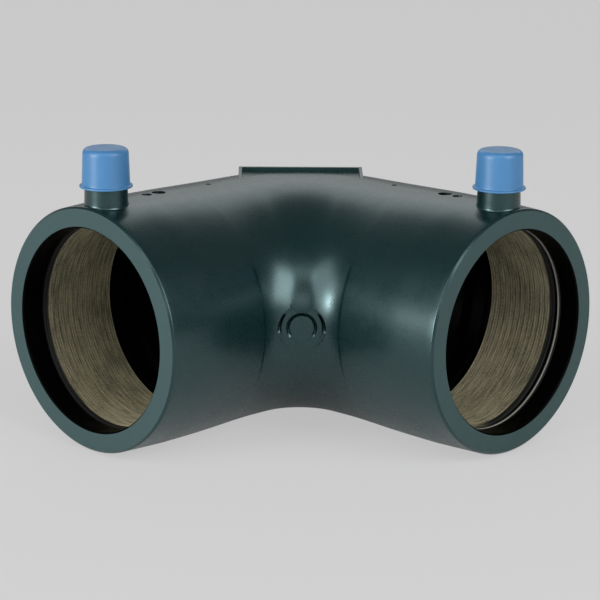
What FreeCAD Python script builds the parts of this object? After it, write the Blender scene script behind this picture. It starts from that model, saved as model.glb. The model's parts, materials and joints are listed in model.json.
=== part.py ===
import FreeCAD
import Part

import math
import os

from FreeCAD import Matrix, Placement, Rotation, Vector

# Electrofusion elbow of black polyethylene for 63 mm pipe, turned 90 degrees.
# Millimetres, +Z up. It lies on the undersides of its two sockets, with the terminals on top.
# The plane X = 0 is the plane of symmetry, and the mouths open towards -Y.
# The origin is at the middle of the floor area that the elbow covers.
# Depths in a socket are measured inwards from its mouth, heights on a terminal from the crown.

# Pipe and socket
pipe_d = 63.0
pipe_clearance = 0.5
socket_wall = 7.25
mouth_draft = 0.65
mouth_draft_length = 17.0
mouth_outer_chamfer = 0.6
mouth_bore_chamfer = 0.5
outer_cold_zone = 7.8
inner_cold_zone = 7.1
stop_width = 3.75

# Bend
bend_angle = 90.0
throat_r = 15.6
crown_turn_r = 22.0
root_step = 0.6
root_ramp = 1.0
depth_past_root = 6.0
skin_stations = 17
bore_stations = 9
bend_lead_in = 7.0

# Heating wire
wire_pitch = 2.0
wire_turns = 13
wire_base_width = 1.8
wire_crest_width = 1.0
wire_height = 0.7
lead_turn_gap = 2.1
lead_turn_share = 0.55
lead_turn_blend = 0.45
run_off_turn = 0.25
run_off_stop_gap = 1.4
chords_per_turn = 20
wire_bed_gap = 0.08
wire_side_gap = 0.1
tail_d = 1.0

# Terminals
shroud_base_d = 13.4
shroud_top_d = 12.3
shroud_height = 15.6
shroud_bore_d = 9.6
shroud_floor = 3.1
shroud_root_flare = 0.8
shroud_rim_chamfer = 0.4
pin_d = 4.0
pin_below_rim = 3.2
pin_tip_chamfer = 0.5
pin_flange_d = 6.0
pin_flange_height = 1.2
pin_shank_d = 3.0
pin_shank_buried = 4.8
moulded_in_gap = 0.03

# Terminal caps
cap_wall = 0.7
cap_top = 1.3
cap_overlap = 10.7
cap_top_round = 1.7
cap_round_chords = 3
cap_collar_d = 16.2
cap_collar_height = 0.9
cap_gap = 0.1

# Fusion indicators and the marks on the crown
indicator_offset = 21.4
indicator_well_d = 4.4
indicator_well_depth = 3.4
indicator_pin_d = 3.6
indicator_below_crown = 0.7
dimple_offset = 16.4
dimple_d = 3.2
dimple_depth = 0.6
ejector_mark_offset = 42.5
ejector_mark_d = 1.8
ejector_mark_depth = 0.9

# Label tray on the crown of the bend
tray_length = 40.2
tray_rim_width = 1.0
tray_rim_height = 1.35
tray_back_from_crown = 3.0
tray_front_from_crown = 11.3
tray_floor_drop = 0.05

# Gate mark in the throat
gate_face_d = 14.8
gate_face_depth = 0.3
gate_well_d = 8.4
gate_well_depth = 0.8
gate_nub_d = 3.0
gate_nub_height = 0.6

# Radii
socket_bore_r = (pipe_d + pipe_clearance) / 2
socket_outer_r = socket_bore_r + socket_wall
bend_outer_r = socket_outer_r - root_step
bend_bore_r = socket_bore_r - stop_width
bend_r = throat_r + bend_outer_r

# Draft of the shroud, which its cap shares
shroud_draft = (shroud_base_d - shroud_top_d) / 2 / shroud_height

# Contact pin
pin_length = shroud_height - pin_below_rim - shroud_floor
pin_shank_length = shroud_floor + pin_shank_buried

# Heating wire, worked out from the values above
winding_start = outer_cold_zone + lead_turn_gap
winding_length = wire_turns * wire_pitch
half_turn_advance = wire_pitch / 2
socket_depth = winding_start + winding_length + half_turn_advance + inner_cold_zone
chord_turn = 1 / chords_per_turn
chord_overrun = chord_turn / 4
chord_dip = math.cos(math.pi / chords_per_turn)
wire_crest_r = socket_bore_r / chord_dip
wire_base_r = wire_crest_r + wire_height
wire_bed_r = wire_base_r + wire_bed_gap
wire_centre_r = (wire_crest_r + wire_base_r) / 2
tail_foot = wire_centre_r * chord_dip - socket_outer_r
tail_length = -pin_shank_buried - tail_foot
bed_margin = wire_base_width / 2 + wire_side_gap
bed_start = outer_cold_zone - bed_margin
bed_end = winding_start + winding_length + half_turn_advance + bed_margin
run_off_end = socket_depth - run_off_stop_gap

# Places in the plane of the pipe axes, with the bend's turning axis at bend_y
half_bend = math.radians(bend_angle / 2)
socket_length = socket_depth - depth_past_root
leg = bend_r * math.tan(half_bend) + socket_length
crown_turn_y = (bend_r - crown_turn_r) / math.cos(half_bend)
crown_y = crown_turn_y + crown_turn_r
back_y = crown_y + bend_outer_r
chamfered_mouth = socket_length - mouth_outer_chamfer
front_y = (bend_r - (socket_outer_r - mouth_draft)) * math.cos(half_bend) - chamfered_mouth * math.sin(half_bend)
bend_y = -(front_y + back_y) / 2
corner_y = bend_y + bend_r / math.cos(half_bend)
axis_z = socket_outer_r
crown_z = axis_z + socket_outer_r
bend_crown_z = axis_z + bend_outer_r

UP = Vector(0, 0, 1)
LEFT = -1
RIGHT = 1
RIGHT_CORNERS = 1
SIDE_NAMES = {LEFT: "left", RIGHT: "right"}


def outward(side):
    """Direction of a socket's axis, out of its mouth."""
    return Vector(side * math.cos(half_bend), -math.sin(half_bend), 0)


def socket_frame(side):
    """Placement whose +Z is the socket's axis out of the mouth, with +Y up and the origin at the mouth."""
    axis = outward(side)
    mouth = Vector(0, corner_y, axis_z) + axis * leg
    return Placement(mouth, Rotation(UP.cross(axis), UP, axis, "ZXY"))


def crown_point(side, depth, height=0.0):
    """Point on the crown line of a socket, at a depth from the mouth and a height above the crown."""
    mouth = Vector(0, corner_y, axis_z) + outward(side) * leg
    return mouth - outward(side) * depth + UP * (socket_outer_r + height)


def revolved(profile):
    """Solid of revolution about Z from a closed outline of (radius, height) points and edges between them."""
    face = Part.Face(Part.makePolygon([Vector(r, 0, z) for r, z in profile + profile[:1]]))
    return face.revolve(Vector(0, 0, 0), UP, 360)


def rounded_edge(radius, top, edge_r, chords):
    """Outline points of a round between an upright side and a flat top, from the side to the top."""
    points = []
    for chord in range(chords + 1):
        angle = math.pi / 2 * chord / chords
        points.append((radius - edge_r * (1 - math.cos(angle)), top - edge_r * (1 - math.sin(angle))))
    return points


def upright_cylinder(radius, base, height):
    """Cylinder that stands on a point."""
    return Part.makeCylinder(radius, height, base, UP)


def distance_from_turn(phi, offset):
    """How far a line that follows the bend lies from the turning axis, at an angle phi from the middle.

    The line runs at a distance of offset outside the pipe axis: straight along each leg, with an arc of
    radius crown_turn_r + offset between the legs.
    """
    arc_r = crown_turn_r + offset
    straight = (bend_r + offset) / math.cos(half_bend - abs(phi))
    inside = arc_r ** 2 - (crown_turn_y * math.sin(phi)) ** 2
    if inside <= 0:
        return straight
    arc = crown_turn_y * math.cos(phi) + math.sqrt(inside)
    turned = math.atan2(arc * math.sin(abs(phi)), arc * math.cos(phi) - crown_turn_y)
    return arc if turned < half_bend else straight


def half_ellipse(centre, across, height, start):
    """Half of an ellipse with the half-axes across (a vector) and height (upwards), from an angle start."""
    arc = Part.makeCircle(1, Vector(0, 0, 0), UP, start, start + 180)
    form = Matrix(
        across.x, 0, 0, centre.x,
        across.y, 0, 1, centre.y,
        across.z, height, 0, centre.z,
        0, 0, 0, 1,
    )
    return arc.transformGeometry(form)


def bend_section(phi, radius):
    """Outline of the bend in a plane through the turning axis: a half-ellipse on each side of the crown."""
    direction = Vector(math.sin(phi), math.cos(phi), 0)
    crown = distance_from_turn(phi, 0)
    back = distance_from_turn(phi, radius)
    throat = bend_r - radius
    centre = Vector(0, bend_y, axis_z) + direction * crown
    outer_half = half_ellipse(centre, direction * (back - crown), radius, -90)
    throat_half = half_ellipse(centre, direction * (crown - throat), radius, 90)
    return Part.Wire([outer_half, throat_half])


def straight_section(side, distance, radius):
    """Round outline at a distance outside the root of a socket, in the same two halves."""
    direction = Vector(side * math.sin(half_bend), math.cos(half_bend), 0)
    centre = Vector(0, bend_y, axis_z) + direction * bend_r + outward(side) * distance
    outer_half = half_ellipse(centre, direction * radius, radius, -90)
    throat_half = half_ellipse(centre, direction * radius, radius, 90)
    return Part.Wire([outer_half, throat_half])


def bend_form(radius, stations):
    """Solid of the bend at a given radius, which reaches a little way into both sockets."""
    middle = (stations - 1) / 2
    sections = [straight_section(LEFT, bend_lead_in, radius)]
    for station in range(stations):
        sections.append(bend_section(half_bend * (station - middle) / middle, radius))
    sections.append(straight_section(RIGHT, bend_lead_in, radius))
    return Part.makeLoft(sections, True, True)


def socket_outside():
    """Outside of one socket: drafted sleeve at the mouth, straight wall, ramp down to the bend."""
    ramp_foot = socket_length + root_ramp / 2
    drafted_r = socket_outer_r - mouth_draft
    return revolved([
        (0, 0),
        (drafted_r - mouth_outer_chamfer, 0),
        (drafted_r, -mouth_outer_chamfer),
        (socket_outer_r, -mouth_draft_length),
        (socket_outer_r, -(ramp_foot - root_ramp)),
        (socket_outer_r - root_ramp, -ramp_foot),
        (0, -ramp_foot),
    ])


def socket_inside():
    """Hollow of one socket: bore, the bed of the heating wire and the stop for the pipe's end."""
    proud = 1.0
    return revolved([
        (0, proud),
        (socket_bore_r + mouth_bore_chamfer + proud, proud),
        (socket_bore_r, -mouth_bore_chamfer),
        (socket_bore_r, -bed_start),
        (wire_bed_r, -bed_start),
        (wire_bed_r, -bed_end),
        (socket_bore_r, -bed_end),
        (socket_bore_r, -socket_depth),
        (0, -socket_depth),
    ])


def wire_section(depth, turn, margin):
    """Cross-section of the wire in the socket's frame, after a number of turns from the crown."""
    angle = 2 * math.pi * turn
    across = Vector(math.sin(angle), math.cos(angle), 0)
    base_half = wire_base_width / 2 + margin
    crest_half = wire_crest_width / 2 + margin
    crest_r = wire_crest_r - margin
    base_r = wire_base_r + min(margin, wire_bed_gap)
    corners = [
        across * crest_r + UP * (crest_half - depth),
        across * base_r + UP * (base_half - depth),
        across * base_r + UP * (-base_half - depth),
        across * crest_r + UP * (-crest_half - depth),
    ]
    return Part.makePolygon(corners + corners[:1])


def eased(share):
    """Smooth step from 0 to 1."""
    share = min(max(share, 0.0), 1.0)
    return share * share * (3 - 2 * share)


def half_turn_of(side):
    """Both coils are wound the same way round, so what lies on the outer wall comes half a turn later on the left."""
    return 0.5 if side == LEFT else 0.0


def last_winding_turn(side):
    """Turns from the terminal to the end of the winding."""
    return 1 + wire_turns + half_turn_of(side)


def winding_depth(turn, side):
    """Depth of the wire's middle after a number of turns: lead turn, winding, then the run-off."""
    winding_line = winding_start + wire_pitch * (turn - 1)
    last = last_winding_turn(side)
    if turn > last:
        winding_end = winding_start + wire_pitch * (last - 1)
        return winding_end + (run_off_end - winding_end) * math.sin((turn - last) / run_off_turn * math.pi / 2)
    leaves = lead_turn_share - half_turn_of(side)
    return outer_cold_zone + (winding_line - outer_cold_zone) * eased((turn - leaves) / lead_turn_blend)


def wound_wire(first_turn, last_turn, side, margin=0.0):
    """Helical wire from one turn count to another, each turn drawn with a fixed number of chords."""
    steps = round((last_turn - first_turn) * chords_per_turn)
    sections = []
    for step in range(steps + 1):
        turn = first_turn + (last_turn - first_turn) * step / steps
        sections.append(wire_section(winding_depth(turn, side), turn, margin))
    return Part.makeLoft(sections, True, True)


def run_off_groove(side):
    """Channel in the bore for the last part of a turn, which leaves the winding for the link wire."""
    last = last_winding_turn(side)
    groove = wound_wire(last - chord_turn + chord_overrun, last + run_off_turn + chord_overrun, side, wire_side_gap)
    return groove.transformed(socket_frame(side).toMatrix())


def run_off_foot(side):
    """Middle of the coil's wire at the end of its run-off."""
    across = Vector(side * math.sin(half_bend), math.cos(half_bend), 0)
    mouth = Vector(0, corner_y, axis_z) + outward(side) * leg
    return mouth + across * wire_centre_r - outward(side) * run_off_end


def link_points():
    """Corners of the link wire in the outer wall of the bend, from one socket's run-off to the other's."""
    arc_r = crown_turn_r + wire_centre_r
    turn_centre = Vector(0, bend_y + crown_turn_y, axis_z)
    chords = math.ceil(chords_per_turn * bend_angle / 360)
    points = []
    for chord in range(chords + 1):
        phi = 2 * half_bend * chord / chords - half_bend
        points.append(turn_centre + Vector(math.sin(phi), math.cos(phi), 0) * arc_r)
    return [run_off_foot(LEFT)] + points + [run_off_foot(RIGHT)]


def link_bar(diameter):
    """Round bar along the link wire, with mitred corners."""
    points = link_points()
    ring = Part.Wire([Part.makeCircle(diameter / 2, points[0], points[1] - points[0])])
    return Part.makePolygon(points).makePipeShell([ring], True, False, RIGHT_CORNERS)


def shroud_outside(side):
    """Drafted collar round a terminal, with a flared root where it leaves the socket."""
    buried = socket_wall / 2
    base_r = shroud_base_d / 2
    top_r = shroud_top_d / 2
    collar = revolved([
        (0, -buried),
        (base_r + shroud_root_flare, -buried),
        (base_r + shroud_root_flare, 0),
        (base_r - shroud_draft * shroud_root_flare, shroud_root_flare),
        (top_r, shroud_height - shroud_rim_chamfer),
        (top_r - shroud_rim_chamfer, shroud_height),
        (0, shroud_height),
    ])
    collar.translate(crown_point(side, outer_cold_zone))
    return collar


def shroud_inside(side):
    """Hollow of a shroud, the hole of the pin's shank and the hole of the wire's tail below it."""
    well = upright_cylinder(
        shroud_bore_d / 2, crown_point(side, outer_cold_zone, shroud_floor), shroud_height - shroud_floor + 1.0)
    shank = upright_cylinder(
        pin_shank_d / 2 + moulded_in_gap, crown_point(side, outer_cold_zone, -pin_shank_buried),
        pin_shank_length + 0.5)
    tail = upright_cylinder(
        tail_d / 2 + moulded_in_gap, crown_point(side, outer_cold_zone, tail_foot), tail_length + 0.5)
    return [well, shank, tail]


def crown_marks(side):
    """Well of the fusion indicator and the two small marks beside it."""
    well = upright_cylinder(
        indicator_well_d / 2,
        crown_point(side, outer_cold_zone + indicator_offset, -indicator_well_depth), indicator_well_depth + 1.0)
    dimple = upright_cylinder(
        dimple_d / 2, crown_point(side, outer_cold_zone + dimple_offset, -dimple_depth), dimple_depth + 1.0)
    mark = upright_cylinder(
        ejector_mark_d / 2,
        crown_point(side, outer_cold_zone + ejector_mark_offset, -root_step - ejector_mark_depth),
        ejector_mark_depth + 2.0)
    return [well, dimple, mark]


def label_tray():
    """Solid and hollow of the tray for the label: a floor level with the crown and a rim on three sides."""
    floor_z = bend_crown_z - tray_floor_drop
    rim_z = floor_z + tray_rim_height
    back = bend_y + crown_y + tray_back_from_crown
    front = bend_y + crown_y - tray_front_from_crown
    half = tray_length / 2
    buried_z = bend_crown_z - (bend_outer_r - bend_bore_r) / 2
    outline = Part.makePolygon([
        Vector(-half, front, floor_z),
        Vector(-half, back, rim_z),
        Vector(-half, back, buried_z),
        Vector(-half, front, buried_z),
        Vector(-half, front, floor_z),
    ])
    block = Part.Face(outline).extrude(Vector(tray_length, 0, 0))
    hollow = Part.makeBox(
        tray_length - 2 * tray_rim_width,
        back - tray_rim_width - front + 1.0,
        tray_rim_height + 1.0,
        Vector(-half + tray_rim_width, front - 1.0, floor_z),
    )
    return block, hollow


def gate_mark():
    """Hollow of the gate mark in the throat: a flat face, a well in it and the cut-off sprue in the well."""
    towards_back = Vector(0, 1, 0)
    face_y = bend_y + throat_r + gate_face_depth
    well_y = face_y + gate_well_depth
    face = Part.makeCylinder(gate_face_d / 2, throat_r, Vector(0, face_y - throat_r, axis_z), towards_back)
    well = Part.makeCylinder(gate_well_d / 2, throat_r, Vector(0, well_y - throat_r, axis_z), towards_back)
    nub = Part.makeCylinder(
        gate_nub_d / 2, gate_nub_height + 1.0, Vector(0, well_y - gate_nub_height, axis_z), towards_back)
    return face.fuse(well).cut(nub)


def elbow_body():
    """The one moulding: sockets, bend, terminal shrouds, label tray, wells and marks."""
    solids = [bend_form(bend_outer_r, skin_stations)]
    hollows = [bend_form(bend_bore_r, bore_stations)]
    for side in (LEFT, RIGHT):
        place = socket_frame(side).toMatrix()
        solids.append(socket_outside().transformed(place))
        solids.append(shroud_outside(side))
        hollows.append(socket_inside().transformed(place))
        hollows.extend(shroud_inside(side))
        hollows.extend(crown_marks(side))
        hollows.append(run_off_groove(side))
    block, tray_hollow = label_tray()
    outside = solids[0].multiFuse(solids[1:] + [block.cut(tray_hollow)])
    hollows.append(gate_mark())
    hollows.append(link_bar(tail_d + 2 * moulded_in_gap))
    body = outside.cut(hollows)
    return body.removeSplitter()


def heating_coil(side):
    """Wire of one socket: tail up to the pin, lead turn, winding and run-off."""
    last = last_winding_turn(side) + run_off_turn
    coil = wound_wire(chord_overrun - chord_turn, last + chord_overrun, side)
    coil = coil.transformed(socket_frame(side).toMatrix())
    tail = upright_cylinder(tail_d / 2, crown_point(side, outer_cold_zone, tail_foot), tail_length)
    return coil.fuse(tail)


def link_wire(coils):
    """Wire in the wall of the bend that puts both coils in one circuit, notched where it meets their ends."""
    return link_bar(tail_d).cut(coils)


def terminal_pin(side):
    """Contact pin with its flange on the floor of the shroud and its shank moulded into the wall."""
    pin = revolved([
        (0, -pin_shank_length),
        (pin_shank_d / 2, -pin_shank_length),
        (pin_shank_d / 2, 0),
        (pin_flange_d / 2, 0),
        (pin_flange_d / 2, pin_flange_height),
        (pin_d / 2, pin_flange_height),
        (pin_d / 2, pin_length - pin_tip_chamfer),
        (pin_d / 2 - pin_tip_chamfer, pin_length),
        (0, pin_length),
    ])
    pin.translate(crown_point(side, outer_cold_zone, shroud_floor))
    return pin


def terminal_cap(side):
    """Cup-shaped dust cap with a thin collar, pushed down over the shroud until its top meets the rim."""
    inner_top = shroud_top_d / 2 + cap_gap
    inner_foot = inner_top + shroud_draft * cap_overlap
    outer_top = inner_top + cap_wall
    outer_foot = inner_foot + cap_wall
    height = cap_overlap + cap_top
    cap = revolved([
        (0, cap_overlap),
        (inner_top, cap_overlap),
        (inner_foot, 0),
        (cap_collar_d / 2, 0),
        (cap_collar_d / 2, cap_collar_height),
        (outer_foot, cap_collar_height),
        *rounded_edge(outer_top, height, cap_top_round, cap_round_chords),
        (0, height),
    ])
    cap.translate(crown_point(side, outer_cold_zone, shroud_height - cap_overlap))
    return cap


def fusion_indicator(side):
    """Small pin in its well, which the melt lifts once the weld is made."""
    foot = crown_point(side, outer_cold_zone + indicator_offset, -indicator_well_depth)
    return upright_cylinder(indicator_pin_d / 2, foot, indicator_well_depth - indicator_below_crown)


def main():
    """Build every piece and write it to its file."""
    os.makedirs("parts", exist_ok=True)
    coils = {"heating_coil_" + name: heating_coil(side) for side, name in SIDE_NAMES.items()}
    pieces = {"elbow_body": elbow_body(), "link_wire": link_wire(list(coils.values())), **coils}
    for side, name in SIDE_NAMES.items():
        pieces["terminal_pin_" + name] = terminal_pin(side)
        pieces["terminal_cap_" + name] = terminal_cap(side)
        pieces["fusion_indicator_" + name] = fusion_indicator(side)
    for name, shape in pieces.items():
        print(name, len(shape.Solids), "solid", shape.isValid(), "volume", round(shape.Volume, 1))
        shape.exportStep("parts/" + name + ".step")


main()
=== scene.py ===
"""Looks of a right-angle electrofusion elbow for 63 mm polyethylene pipe.

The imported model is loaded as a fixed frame. Each visible piece is a surface worked out with numpy in that
frame, in metres: X = 0 is the plane of symmetry, the mouths open towards -Y and +Z is up.
"""

import json
import logging
import math
from dataclasses import dataclass
from enum import Enum

import bmesh
import bpy
import numpy as np
from mathutils import Matrix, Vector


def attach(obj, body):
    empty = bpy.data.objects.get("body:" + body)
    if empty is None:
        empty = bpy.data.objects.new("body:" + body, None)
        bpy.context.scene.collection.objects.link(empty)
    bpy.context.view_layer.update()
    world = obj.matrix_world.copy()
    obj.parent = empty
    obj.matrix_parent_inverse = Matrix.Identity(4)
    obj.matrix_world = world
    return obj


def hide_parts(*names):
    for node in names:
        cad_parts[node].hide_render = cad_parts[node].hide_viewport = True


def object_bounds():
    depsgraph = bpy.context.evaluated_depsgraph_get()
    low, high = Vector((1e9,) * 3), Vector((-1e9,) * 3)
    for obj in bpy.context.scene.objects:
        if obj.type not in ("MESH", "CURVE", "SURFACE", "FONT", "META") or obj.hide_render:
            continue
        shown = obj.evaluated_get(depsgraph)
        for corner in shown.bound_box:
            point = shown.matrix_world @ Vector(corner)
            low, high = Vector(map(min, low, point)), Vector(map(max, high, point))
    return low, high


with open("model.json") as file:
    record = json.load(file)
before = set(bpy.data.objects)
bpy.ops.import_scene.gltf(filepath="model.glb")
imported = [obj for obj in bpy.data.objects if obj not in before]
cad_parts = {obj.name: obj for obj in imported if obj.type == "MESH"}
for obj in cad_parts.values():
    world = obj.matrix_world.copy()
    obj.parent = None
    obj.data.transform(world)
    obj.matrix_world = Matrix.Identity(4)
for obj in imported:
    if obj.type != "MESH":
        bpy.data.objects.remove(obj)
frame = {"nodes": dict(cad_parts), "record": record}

CAD_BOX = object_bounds()
MM = 0.001
UP = np.array([0.0, 0.0, 1.0])
TINY = 1e-9
SAME_PLACE = 1e-7
ARC_REACH = 0.49
LOG = logging.getLogger("elbow")

Array = np.ndarray
Triple = tuple[float, float, float]
Pair = tuple[float, float]
Thing = bpy.types.Object
Mesh = bpy.types.Mesh
Finish = bpy.types.Material
Socket = bpy.types.NodeSocket
Value = Socket | float | Triple


class Side(Enum):
    """The two sockets, by the sign of the X that they lie on."""

    LEFT = -1
    RIGHT = 1

    @property
    def label(self) -> str:
        """Name of the side as the nodes spell it."""
        return self.name.lower()


class Join(Enum):
    """How one closed mesh is joined to another."""

    ADD = "UNION"
    CUT = "DIFFERENCE"


class Zone(Enum):
    """Surfaces of the moulding that are finished differently, by material slot."""

    OUTSIDE = 0
    MOUTH_FACE = 1
    BORE = 2


# Surfaces as functions of two parameters


def unit(vectors: Array) -> Array:
    """Vectors of length one along the last axis, with zero vectors left as they are."""
    length = np.linalg.norm(vectors, axis=-1, keepdims=True)
    return vectors / np.where(length < TINY, 1.0, length)


def ramp(value: Array, start: float, end: float) -> Array:
    """Share that runs evenly from 0 at the start to 1 at the end and is held beyond both."""
    return np.clip((value - start) / (end - start), 0.0, 1.0)


def eased(share: Array) -> Array:
    """S curve over a share from 0 to 1: three times its square less twice its cube."""
    return share * share * (3 - 2 * share)


def framed(*columns: Array) -> Array:
    """Matrix of 4 by 4 from its three axes and its place."""
    return np.vstack([np.stack(columns, axis=1), [0.0, 0.0, 0.0, 1.0]])


def rounded_outline(corners: list, radii_mm: list[float], steps: int = 6, closed: bool = False) -> Array:
    """Outline whose corners are circular arcs.

    Each arc is a rational curve of the second degree between the tangent points. The corner is its middle
    control point, weighted by the sine of half the corner's angle.

    Args:
        corners: Corner points, one row each.
        radii_mm: Radius at each corner in millimetres, zero for a sharp one.
        steps: Points on each arc.
        closed: Whether the last corner joins the first.

    Returns:
        The points of the outline, without repeats.
    """
    corners = np.array(corners)
    before, after = np.roll(corners, 1, axis=0), np.roll(corners, -1, axis=0)
    to_before, to_after = before - corners, after - corners
    half = np.arccos(np.clip(np.sum(unit(to_before) * unit(to_after), axis=1), -1, 1)) / 2
    reach = np.minimum(np.linalg.norm(to_before, axis=1), np.linalg.norm(to_after, axis=1)) * ARC_REACH
    tangent = np.minimum(np.array(radii_mm) * MM / np.maximum(np.tan(half), TINY), reach)
    if not closed:
        tangent[[0, -1]] = 0.0
    start = corners + unit(to_before) * tangent[:, None]
    end = corners + unit(to_after) * tangent[:, None]
    t = np.linspace(0.0, 1.0, steps)[None, :, None]
    weight = (2 * np.sin(half))[:, None, None] * t * (1 - t)
    arc = (1 - t) ** 2 * start[:, None] + weight * corners[:, None] + t ** 2 * end[:, None]
    points = (arc / ((1 - t) ** 2 + weight + t ** 2)).reshape(-1, corners.shape[1])
    moved = np.linalg.norm(np.diff(points, axis=0), axis=1) > SAME_PLACE / 10
    return points[np.concatenate([[True], moved])]


def spread_between(points: Array, spacing: float) -> Array:
    """Outline with extra points on its long runs, no further apart than a spacing.

    Args:
        points: Points of an open outline.
        spacing: Longest distance allowed between neighbours.

    Returns:
        The outline with every old point, and each run divided evenly.
    """
    runs = np.linalg.norm(np.diff(points, axis=0), axis=1)
    pieces = np.maximum(np.ceil(runs / spacing).astype(int), 1)
    index = np.repeat(np.arange(len(pieces)), pieces)
    share = (np.arange(pieces.sum()) - np.repeat(np.cumsum(pieces) - pieces, pieces)) / pieces[index]
    inner = points[index] + share[:, None] * (points[index + 1] - points[index])
    return np.vstack([inner, points[-1:]])


def lathe_grid(profile: Array, segments: int) -> Array:
    """Surface of revolution: a point at radius r and height h becomes (r cos a, r sin a, h).

    Args:
        profile: Points (radius, height).
        segments: Divisions of the full turn.

    Returns:
        Grid of points, profile by angle.
    """
    angle = np.arange(segments) * (2 * np.pi / segments)
    radius, height = profile[:, :1], profile[:, 1:] + 0 * angle
    return np.stack([radius * np.cos(angle), radius * np.sin(angle), height], axis=-1)


def capped(grid: Array) -> Array:
    """Grid with one more row before its first and after its last, at the middle of that row's points."""
    ends = np.repeat(grid[[0, -1]].mean(axis=1, keepdims=True), grid.shape[1], axis=1)
    return np.concatenate([ends[:1], grid, ends[1:]])


def new_object(name: str, mesh: Mesh) -> Thing:
    """Object at the origin that shows a mesh.

    Args:
        name: Name of the piece.
        mesh: Its mesh, already in place.

    Returns:
        The linked object.
    """
    made = bpy.data.objects.new(name, mesh)
    bpy.context.scene.collection.objects.link(made)
    return made


def closed_object(name: str, points: Array, faces: Array, zones: Array | None = None,
                  edge: float = 0.0) -> Thing:
    """Object of a closed mesh, with its doubled points merged and its faces turned outwards.

    Args:
        name: Name of the object and its mesh.
        points: Points, one row each.
        faces: Four point numbers for each face.
        zones: Material slot of each face.
        edge: Width of a rounding on every edge.

    Returns:
        The object.
    """
    mesh = bpy.data.meshes.new(name)
    mesh.from_pydata(points, [], faces)
    if zones is not None:
        mesh.polygons.foreach_set("material_index", zones.astype(np.int32))
    tidy = bmesh.new()
    tidy.from_mesh(mesh)
    bmesh.ops.remove_doubles(tidy, verts=tidy.verts, dist=SAME_PLACE)
    bmesh.ops.recalc_face_normals(tidy, faces=tidy.faces)
    if edge:
        bmesh.ops.bevel(tidy, geom=tidy.edges, offset=edge, segments=3, profile=0.5, affect="EDGES")
    tidy.to_mesh(mesh)
    tidy.free()
    return new_object(name, mesh)


def grid_object(name: str, grid: Array, close_rows: bool = False, zones: Array | None = None) -> Thing:
    """Object of four-sided faces over a grid of points that is closed along its second axis.

    Corner (i, j) joins (i + 1, j), (i + 1, j + 1) and (i, j + 1), wrapped round where closed.

    Args:
        name: Name of the object and its mesh.
        grid: Points, rows by columns by 3.
        close_rows: Whether the last row joins the first.
        zones: Material slot of each band of faces between two rows.

    Returns:
        The object.
    """
    rows, columns = grid.shape[:2]
    i = np.arange(rows if close_rows else rows - 1)[:, None]
    j = np.arange(columns)[None, :]
    below, beside = (i + 1) % rows, (j + 1) % columns
    corners = [i * columns + j, below * columns + j, below * columns + beside, i * columns + beside]
    faces = np.stack(corners, -1).reshape(-1, 4)
    slots = None if zones is None else np.repeat(zones, columns)
    return closed_object(name, grid.reshape(-1, 3), faces, slots)


def combine(target: Thing, tools: list[Thing], join: Join) -> None:
    """Joins closed meshes to a target, or cuts them out of it, and removes them.

    Args:
        target: Object whose mesh is rebuilt.
        tools: Objects that are added or cut away.
        join: Which of the two.
    """
    for tool in tools:
        step = target.modifiers.new("join", "BOOLEAN")
        step.operation, step.solver, step.object = join.value, "MANIFOLD", tool
    graph = bpy.context.evaluated_depsgraph_get()
    mesh = bpy.data.meshes.new_from_object(target.evaluated_get(graph))
    old = target.data
    target.modifiers.clear()
    target.data = mesh
    mesh.name = old.name
    for spent in [old, *(tool.data for tool in tools)]:
        bpy.data.meshes.remove(spent)


def bevelled_block(name: str, corners: list, width: float) -> Thing:
    """Block with rounded edges, from its four lower corners and the four above in the same order."""
    faces = [(3, 2, 1, 0), (4, 5, 6, 7), (0, 1, 5, 4), (1, 2, 6, 5), (2, 3, 7, 6), (3, 0, 4, 7)]
    return closed_object(name, corners, faces, edge=width)


# Places shared by the pieces


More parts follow.
